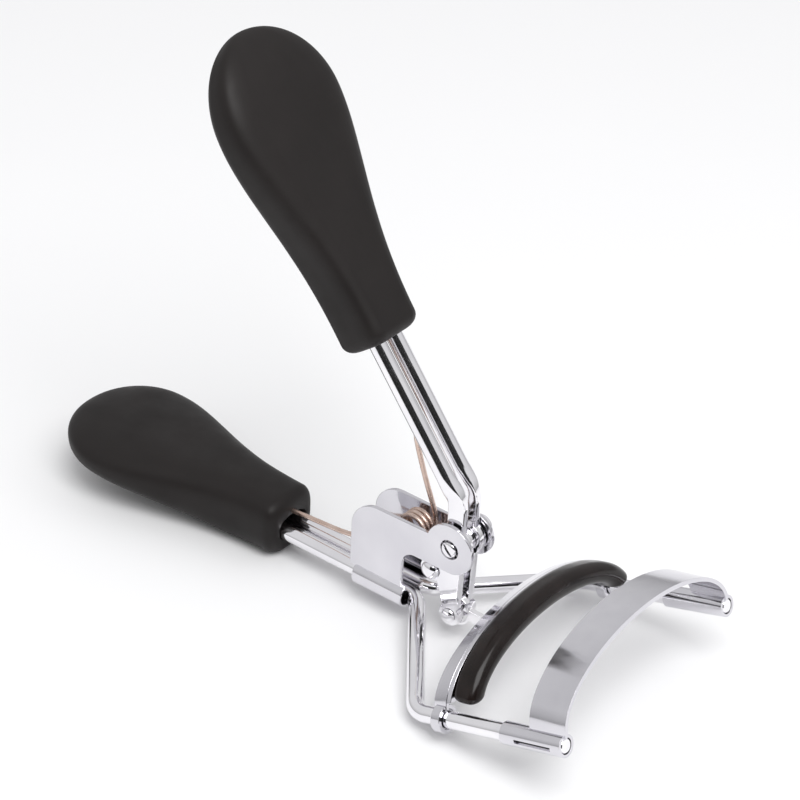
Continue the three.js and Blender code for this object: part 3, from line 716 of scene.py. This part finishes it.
def silicone_pad():
    """Round-nosed pad with rounded ends."""
    rear, nose, nose_r, deep = 6.0, 8.0, 1.4, 3.1
    half, crest = 17.95, 9.35
    outline = [(rear, 0.5), (rear + 0.12, 0.22), (rear + 0.4, 0.06), (rear + 0.9, 0.0)]
    outline += [(nose + nose_r * math.cos(a), deep / 2 * (1 - math.sin(a)))
                for a in spread(math.pi / 2, -math.pi / 2, 20)]
    outline += [(rear + 0.2, deep - 0.05), (rear, deep - 0.2)]
    section = [(x, half - inset, crest - inset) for x, inset in outline]
    trim, reach, end_steps, steps = 0.165, 0.13, 10, 90
    growing = [max(0.05, math.sqrt(1 - (1 - i / end_steps) ** 2)) for i in range(end_steps)]
    start = [trim + reach * i / end_steps for i in range(end_steps)]
    angles = start + spread(trim + reach, math.pi - trim - reach, steps)
    angles += [math.pi - angle for angle in reversed(start)]
    shrink = growing + [1.0] * (steps + 1) + growing[::-1]
    return arched(section, angles, JAW_BAND["foot"], shrink)


piece("pad_holder_channel", [pad_channel()], SHEET_CHROME, "jaw", ["pad_channel"],
      soften=0.06)
piece("lash_pad", [silicone_pad()], SILICONE, "jaw", ["silicone_pad"], crease=60)
front_pin = on_rail(headed_pin(JAW_PIN, PIN_R, head_r=1.0, under=1.43, rise=0.42))
piece("link_front_pin", [front_pin], CHROME, "jaw", ["jaw_pin"])


# ---- link ---------------------------------------------------------------------------------
def push_link():
    """Flat bar with an eye for each pin; the rear eye is wide, so that its pin never touches it."""
    front, rear = rail(*JAW_PIN), PIN
    bar, front_eye, rear_eye, rear_hole, half_thick = 0.8, 1.35, 2.3, 1.85, 0.45
    join, rear_join = math.asin(bar / front_eye), math.asin(bar / rear_eye)
    outline = arc((front.x, front.z), front_eye, math.pi + join, math.pi * 3 - join, 36)
    outline += arc((rear.x, rear.z), rear_eye, rear_join, 2 * math.pi - rear_join, 44)
    holes = [circle((front.x, front.z), PIN_HOLE_R), circle((rear.x, rear.z), rear_hole)]
    return plate([outline, *holes], -half_thick, half_thick, 0.1)


piece("push_link_bar", [push_link()], CHROME, "link", ["push_link"])


# ---- grips --------------------------------------------------------------------------------
# u runs along a grip from its front face, and heights are above its outer face. The outer face
# rises by `tuck` towards the tip once `flat_for` is passed; `inset` is the rods' height.
LOWER_GRIP = {
    "length": 37.5, "base_half": 4.7, "head_half": 10.15, "head_at": 28, "base_thick": 8.6,
    "head_thick": 9.7, "thick_power": 0.7, "tuck": 4.6, "flat_for": 9, "tuck_power": 1.05,
    "rods": STEM.y, "inset": 3.68, "face_power": 2 / 2.7, "tip_round": 7,
}
UPPER_GRIP = {
    "length": 42, "base_half": 4.7, "head_half": 10.05, "head_at": 31, "base_thick": 7.9,
    "head_thick": 5.6, "thick_power": 1.9, "tuck": -1.2, "flat_for": 0, "tuck_power": 2.4,
    "rods": ROD_Y, "inset": 3.21, "face_power": 2 / 4.2, "tip_round": 11,
}
GRIP_WAIST, GRIP_FLAT, EDGE = 0.54, 0.97, 1.6
GRIP_SWELL = 1.33                          # how late a grip widens towards its head
FRONT_SQUARE, HEAD_ROUNDING = 3.4, 1.2     # section's exponent in front, and its loss at the head
MOUTH_DEPTH, MOUTH_LIP = 3.6, 0.35


def grip_half_width(u, grip):
    """Half the width: an S-curve up to the head, then a quarter ellipse."""
    if u > grip["head_at"]:
        t = (u - grip["head_at"]) / (grip["length"] - grip["head_at"])
        return grip["head_half"] * math.sqrt(max(0, 1 - t * t))
    t = (u / grip["head_at"]) ** GRIP_SWELL
    return grip["base_half"] + (grip["head_half"] - grip["base_half"]) * t * t * (3 - 2 * t)


def grip_ring(u, grip, inward, around):
    """One section; `inward` draws it in evenly, for the rounded front edge."""
    power = 2 / (FRONT_SQUARE - HEAD_ROUNDING * min(1, u / grip["head_at"]))
    lifted = max(0, (u - grip["flat_for"]) / (grip["length"] - grip["flat_for"]))
    under = grip["tuck"] * lifted ** grip["tuck_power"]
    growth = grip["head_thick"] - grip["base_thick"]
    over = grip["base_thick"] + growth * (u / grip["length"]) ** grip["thick_power"]
    waist = under + (over - under) * GRIP_WAIST
    into_tip = max(0, (u - grip["length"]) / grip["tip_round"] + 1)
    tip = math.sqrt(max(0, 1 - into_tip ** 2))
    half = max(0, grip_half_width(u, grip) - inward)
    ring = []
    for a in turns(around):
        if math.sin(a) > 0:
            side, up = squarer(math.cos(a), power), squarer(math.sin(a), power)
            reach = (over - waist - inward) * up
        else:
            side = squarer(math.cos(a), grip["face_power"])
            up = squarer(math.sin(a), grip["face_power"])
            reach = (waist - under - inward) * max(-GRIP_FLAT, up) / GRIP_FLAT
        ring.append(Vector((u, half * side, waist + reach * tip)))
    return ring


def grip_mouth(u, grip, grow, around):
    """Oval opening that the rods and the spring's leg go into."""
    wide, high, centre = grip["rods"] + 1.3 + grow, 1.75 + grow, grip["inset"] + 0.4
    power = 2 / 2.6
    return [
        Vector((u, wide * squarer(math.cos(a), power), centre + high * squarer(math.sin(a), power)))
        for a in turns(around)
    ]


def grip_shell(grip, around=96, stations=72):
    """Paddle from the bottom of its mouth, out over the front edge and on to the tip."""
    rings = [grip_mouth(MOUTH_DEPTH, grip, 0, around), grip_mouth(MOUTH_LIP, grip, 0, around)]
    rings += [grip_mouth(MOUTH_LIP * (1 - math.sin(a)), grip, 0.15 * (1 - math.cos(a)), around)
              for a in spread(0.3, math.pi / 2, 4)]
    rings += [grip_ring(EDGE * (1 - math.sin(a)), grip, EDGE * (1 - math.cos(a)), around)
              for a in reversed(spread(0, math.pi / 2, 8))]
    for i in range(1, stations + 1):
        u = EDGE + (grip["length"] - EDGE) * math.sin(math.pi / 2 * i / stations)
        rings.append(grip_ring(u, grip, 0, around))
    return loft(rings)


def moved(shell, matrix):
    points, faces = shell
    return [matrix @ point for point in points], faces


lower_at = Vector((LOWER_GRIP_X, 0, STEM.z - LOWER_GRIP["inset"]))
lower_place = Matrix.Translation(lower_at) @ Matrix.Rotation(math.pi, 4, "Z")
upper_at = UPPER_GRIP_FRONT + OFF_GRIP * UPPER_GRIP["inset"]
upper_turn = Matrix((ALONG_GRIP, (0, 1, 0), -OFF_GRIP)).transposed()
upper_place = Matrix.Translation(upper_at) @ upper_turn.to_4x4()
piece("lower_handle_grip", [moved(grip_shell(LOWER_GRIP), lower_place)], SOFT_TOUCH, "frame",
      ["lower_grip"], crease=50)
piece("upper_handle_grip", [moved(grip_shell(UPPER_GRIP), upper_place)], SOFT_TOUCH, "lever",
      ["upper_grip"], crease=50)


# ---- torsion spring -----------------------------------------------------------------------
def smooth(knots, steps=8):
    """Curve through every knot."""
    path = []
    for i in range(len(knots) - 1):
        a, b = knots[max(i - 1, 0)], knots[i]
        c, d = knots[i + 1], knots[min(i + 2, len(knots) - 1)]
        for k in range(steps):
            t = k / steps
            path.append(0.5 * (
                2 * b + (c - a) * t + (2 * a - 5 * b + 4 * c - d) * t * t
                + (3 * b - a - 3 * c + d) * t ** 3
            ))
    return path + [knots[-1]]


def torsion_spring():
    """Leg down the groove between the rods, coil, and leg back into the lower grip."""
    along_groove = [ELBOW + ALONG_ROD * far_up - OFF_ROD * behind
                    for far_up, behind in ((25, 0.5), (20.5, 0.7), (16, 1.0), (12, 1.4))]
    upper_leg = [*along_groove, (-15.3, 0.2, 26), (-13.8, 0.6, 20.3), (-12.5, COIL_HALF, 15.2)]
    lower_leg = [(-16.4, -COIL_HALF, 10.4), (-20, -0.9, 8.7), (-25, -0.4, 6.7), (-31, 0, 5.8),
                 (-37, 0, 5.4)]
    per_turn = 14
    count = int(COIL_TURNS * per_turn)
    coil = []
    for i in range(count + 1):
        angle = -2 * math.pi * i / per_turn
        across = COIL_HALF - 2 * COIL_HALF * i / count
        coil.append(COIL + Vector((COIL_R * math.cos(angle), across, COIL_R * math.sin(angle))))
    knots = [Vector(p) for p in upper_leg] + coil + [Vector(p) for p in lower_leg]
    path = smooth(knots, 4)
    return wire(path, [SPRING_R] * len(path), 16)


spring = piece("handle_spring", [torsion_spring()], SPRING_STEEL, None, ["torsion_spring"],
               crease=60)
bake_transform(spring)


# ---- studio -------------------------------------------------------------------------------
def direction(azimuth, elevation):
    """Unit vector from the middle towards an azimuth and elevation in degrees."""
    a, e = math.radians(azimuth), math.radians(elevation)
    return Vector((math.sin(a) * math.cos(e), -math.cos(a) * math.cos(e), math.sin(e)))


def floor():
    """Wide pale sheet just under the curler."""
    finish = Finish("pale_floor", (0.93, 0.93, 0.935), 0.65)
    finish.vary("Roughness", finish.noise(30, 2), 0.6, 0.7)
    mesh = bpy.data.meshes.new("floor")
    reach = 1.5
    corners = [(-reach, -reach, 0), (reach, -reach, 0), (reach, reach, 0), (-reach, reach, 0)]
    mesh.from_pydata(corners, [], [(0, 1, 2, 3)])
    mesh.materials.append(finish.material)
    made = bpy.data.objects.new("floor", mesh)
    gap = 0.0002
    made.location.z = cad_box[0].z - gap
    bpy.context.scene.collection.objects.link(made)


def surroundings():
    """White room, a little greyer at the horizon, so that the plating keeps some contrast."""
    world = bpy.data.worlds.new("studio")
    world.use_nodes = True
    tree = world.node_tree
    place = tree.nodes.new("ShaderNodeTexCoord")
    split = tree.nodes.new("ShaderNodeSeparateXYZ")
    height = tree.nodes.new("ShaderNodeMapRange")
    height.inputs["From Min"].default_value = -1
    ramp = tree.nodes.new("ShaderNodeValToRGB")
    greys = [(0.0, 0.8), (0.49, 0.7), (0.51, 0.55), (0.56, 0.75), (0.7, 1.0)]   # 0.5 is the horizon
    while len(ramp.color_ramp.elements) < len(greys):
        ramp.color_ramp.elements.new(0.5)
    for element, (position, grey) in zip(ramp.color_ramp.elements, greys):
        element.position = position
        element.color = (grey, grey, grey * 1.01, 1)
    tree.links.new(place.outputs["Generated"], split.inputs["Vector"])
    tree.links.new(split.outputs["Z"], height.inputs["Value"])
    tree.links.new(height.outputs["Result"], ramp.inputs["Fac"])
    tree.links.new(ramp.outputs["Color"], tree.nodes["Background"].inputs["Color"])
    tree.nodes["Background"].inputs["Strength"].default_value = 0.72
    bpy.context.scene.world = world


def soft_light(name, azimuth, elevation, distance, size, watts):
    """Square soft box aimed at the middle of the curler."""
    data = bpy.data.lights.new(name, "AREA")
    data.size = size
    data.energy = watts
    light = bpy.data.objects.new(name, data)
    middle = (cad_box[0] + cad_box[1]) / 2
    away = direction(azimuth, elevation)
    light.location = middle + away * distance
    light.rotation_mode = "QUATERNION"
    light.rotation_quaternion = (-away).to_track_quat("-Z", "Y")
    bpy.context.scene.collection.objects.link(light)


def dark_curtain():
    """Black curtain behind the camera, which the rods reflect as one long streak each."""
    finish = Finish("curtain_cloth", (0.01, 0.01, 0.01), 0.9)
    finish.vary("Roughness", finish.noise(60, 2), 0.85, 0.95)
    middle, reach, panels = (cad_box[0] + cad_box[1]) / 2, 0.6, 12
    left, right, low, high = -4, 84, -3, 33     # degrees round and up from the curler's middle
    points = []
    for azimuth in spread(left, right, panels):
        points += [middle + direction(azimuth, elevation) * reach for elevation in (low, high)]
    mesh = bpy.data.meshes.new("dark_curtain")
    mesh.from_pydata(points, [], [(2 * i, 2 * i + 2, 2 * i + 3, 2 * i + 1) for i in range(panels)])
    mesh.materials.append(finish.material)
    curtain = bpy.data.objects.new("dark_curtain", mesh)
    bpy.context.scene.collection.objects.link(curtain)


def camera():
    """Close view from the front right and above, with a slight roll."""
    data = bpy.data.cameras.new("camera")
    data.lens = 121.05
    data.clip_start = 0.01
    made = bpy.data.objects.new("camera", data)
    target, distance = Vector((1.63, 6.98, 25.8)) * MM, 0.3495
    away = direction(azimuth=36.19, elevation=33.3)
    made.location = target + away * distance
    made.rotation_mode = "QUATERNION"
    roll = Matrix.Rotation(math.radians(3.06), 3, "Z").to_quaternion()
    made.rotation_quaternion = (-away).to_track_quat("-Z", "Y") @ roll
    bpy.context.scene.collection.objects.link(made)
    bpy.context.scene.camera = made


floor()
surroundings()
soft_light("key", azimuth=60, elevation=58, distance=0.6, size=0.4, watts=2.6)
dark_curtain()
camera()
bpy.context.scene.view_settings.view_transform = "Standard"
